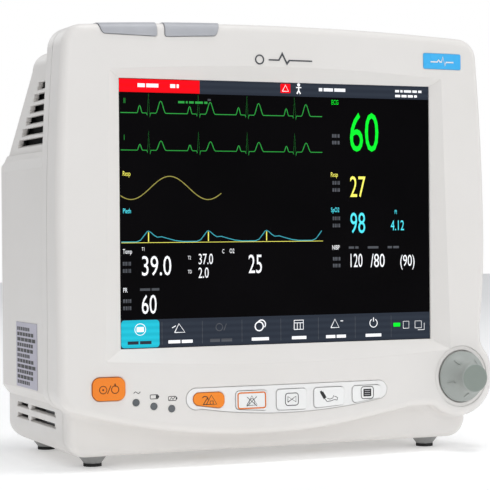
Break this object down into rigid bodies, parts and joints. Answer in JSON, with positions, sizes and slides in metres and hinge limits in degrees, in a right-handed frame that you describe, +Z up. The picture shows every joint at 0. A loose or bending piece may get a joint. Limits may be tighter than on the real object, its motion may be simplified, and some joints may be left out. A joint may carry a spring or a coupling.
{
  "type": "patient monitor",
  "caption": "Bedside patient monitor with a wide screen in a sloped bezel, a lower row of keys, a turn-and-push dial, vented sides, a carry grip and rubber feet.",
  "frame": {"origin": "on the floor plane, at the middle of the four feet", "axes": "+Z up, the screen faces -Y, +X to the right of someone who looks at the screen"},
  "size_m": [0.2913, 0.1647, 0.2645],
  "materials": {
    "case_plastic": "fine satin texture",
    "panel_plastic": "matte",
    "door_plastic": "fine satin texture",
    "seal_rubber": "matte",
    "screen_glass": "polished with a light anti-glare coat",
    "display": "lit picture",
    "sheet_steel": "zinc plated sheet",
    "lens_plastic": "translucent",
    "strip_plastic": "satin",
    "key_white": "satin",
    "key_orange": "satin",
    "light_pipe": "smoked",
    "badge_blue": "glossy",
    "emblem_grey": "printed",
    "board": "solder mask",
    "component_black": "moulded",
    "encoder_metal": "turned",
    "encoder_plastic": "moulded",
    "dial_plastic": "fine matte",
    "foot_plastic": "moulded",
    "foot_rubber": "matte",
    "brass": "turned",
    "screw_steel": "zinc plated",
    "grip_rubber": "soft matte",
    "label": "printed film",
    "battery_case": "moulded",
    "bay_plastic": "moulded",
    "panel_metal": "satin",
    "inlet_plastic": "moulded",
    "post_metal": "nickel plated",
    "port_metal": "nickel plated",
    "socket_grey": "moulded",
    "socket_blue": "moulded",
    "socket_white": "moulded",
    "port_nickel": "nickel plated",
    "module_cover": "folded cover",
    "transformer_core": "varnished",
    "capacitor_sleeve": "sleeved",
    "pump_metal": "turned",
    "valve_brass": "machined",
    "speaker_steel": "pressed"
  },
  "bodies": {
    "housing": {"front_case": "case_plastic", "rear_case": "case_plastic", "connector_panel": "panel_plastic", "case_seal": "seal_rubber", "screen_glass": "screen_glass", "display_module": "display", "display_frame": "sheet_steel", "chassis": "sheet_steel", "alarm_lens_left": "lens_plastic", "alarm_lens_right": "lens_plastic", "key_strip": "strip_plastic", "indicator_lights": "light_pipe", "badge_plate": "badge_blue", "emblem": "emblem_grey", "alarm_light_board": "board", "keypad_board": "board", "main_board": "board", "power_supply_board": "board", "key_switches": "component_black", "main_board_chips": "component_black", "encoder_body": "encoder_metal", "encoder_nut": "encoder_metal", "feet": "foot_plastic", "foot_pads": "foot_rubber", "base_inserts": "brass", "board_spacers": "brass", "battery_contacts": "brass", "mains_inlet_blades": "brass", "case_screws": "screw_steel", "door_hinge_pin": "screw_steel", "handle_grip": "grip_rubber", "side_label": "label", "battery_pack": "battery_case", "battery_bay": "bay_plastic", "rear_panel": "panel_metal", "mains_inlet": "inlet_plastic", "equipotential_post": "post_metal", "network_port": "port_metal", "usb_ports": "port_metal", "ecg_socket": "socket_grey", "oxygen_socket": "socket_grey", "spo2_socket": "socket_blue", "temperature_sockets": "socket_white", "cuff_hose_port": "port_nickel", "measuring_module": "module_cover", "transformer": "transformer_core", "supply_capacitors": "capacitor_sleeve", "cuff_pump": "pump_metal", "cuff_valve": "valve_brass", "loudspeaker": "speaker_steel"},
    "power_button": {"power_key": "key_orange"},
    "alarm_reset_button": {"alarm_reset_key": "key_orange"},
    "alarm_pause_button": {"alarm_pause_key": "key_white"},
    "freeze_button": {"freeze_key": "key_white"},
    "cuff_button": {"cuff_key": "key_white"},
    "menu_button": {"menu_key": "key_white"},
    "dial_push": {"encoder_plunger": "encoder_plastic"},
    "dial": {"encoder_shaft": "encoder_metal", "dial_knob": "dial_plastic"},
    "door": {"battery_door": "door_plastic"}
  },
  "joints": [
    {"name": "power_press", "type": "slide", "parent": "housing", "child": "power_button", "axis": [0, 1, 0], "range_m": [0, 0.001], "stiffness_N_per_m": 1500, "springref_m": -0.0005},
    {"name": "alarm_reset_press", "type": "slide", "parent": "housing", "child": "alarm_reset_button", "axis": [0, 1, 0], "range_m": [0, 0.001], "stiffness_N_per_m": 1500, "springref_m": -0.0005},
    {"name": "alarm_pause_press", "type": "slide", "parent": "housing", "child": "alarm_pause_button", "axis": [0, 1, 0], "range_m": [0, 0.001], "stiffness_N_per_m": 1500, "springref_m": -0.0005},
    {"name": "freeze_press", "type": "slide", "parent": "housing", "child": "freeze_button", "axis": [0, 1, 0], "range_m": [0, 0.001], "stiffness_N_per_m": 1500, "springref_m": -0.0005},
    {"name": "cuff_press", "type": "slide", "parent": "housing", "child": "cuff_button", "axis": [0, 1, 0], "range_m": [0, 0.001], "stiffness_N_per_m": 1500, "springref_m": -0.0005},
    {"name": "menu_press", "type": "slide", "parent": "housing", "child": "menu_button", "axis": [0, 1, 0], "range_m": [0, 0.001], "stiffness_N_per_m": 1500, "springref_m": -0.0005},
    {"name": "dial_press", "type": "slide", "parent": "housing", "child": "dial_push", "axis": [0, 1, 0], "range_m": [0, 0.0006], "stiffness_N_per_m": 3000, "springref_m": -0.0005},
    {"name": "dial_turn", "type": "hinge", "parent": "dial_push", "child": "dial", "pos_m": [0.12275, -0.083, 0.0467], "axis": [0, -1, 0], "continuous": true},
    {"name": "battery_door_hinge", "type": "hinge", "parent": "housing", "child": "door", "pos_m": [-0.12, 0.0574, 0.08], "axis": [0, 0, 1], "range_deg": [0, 95]}
  ]
}
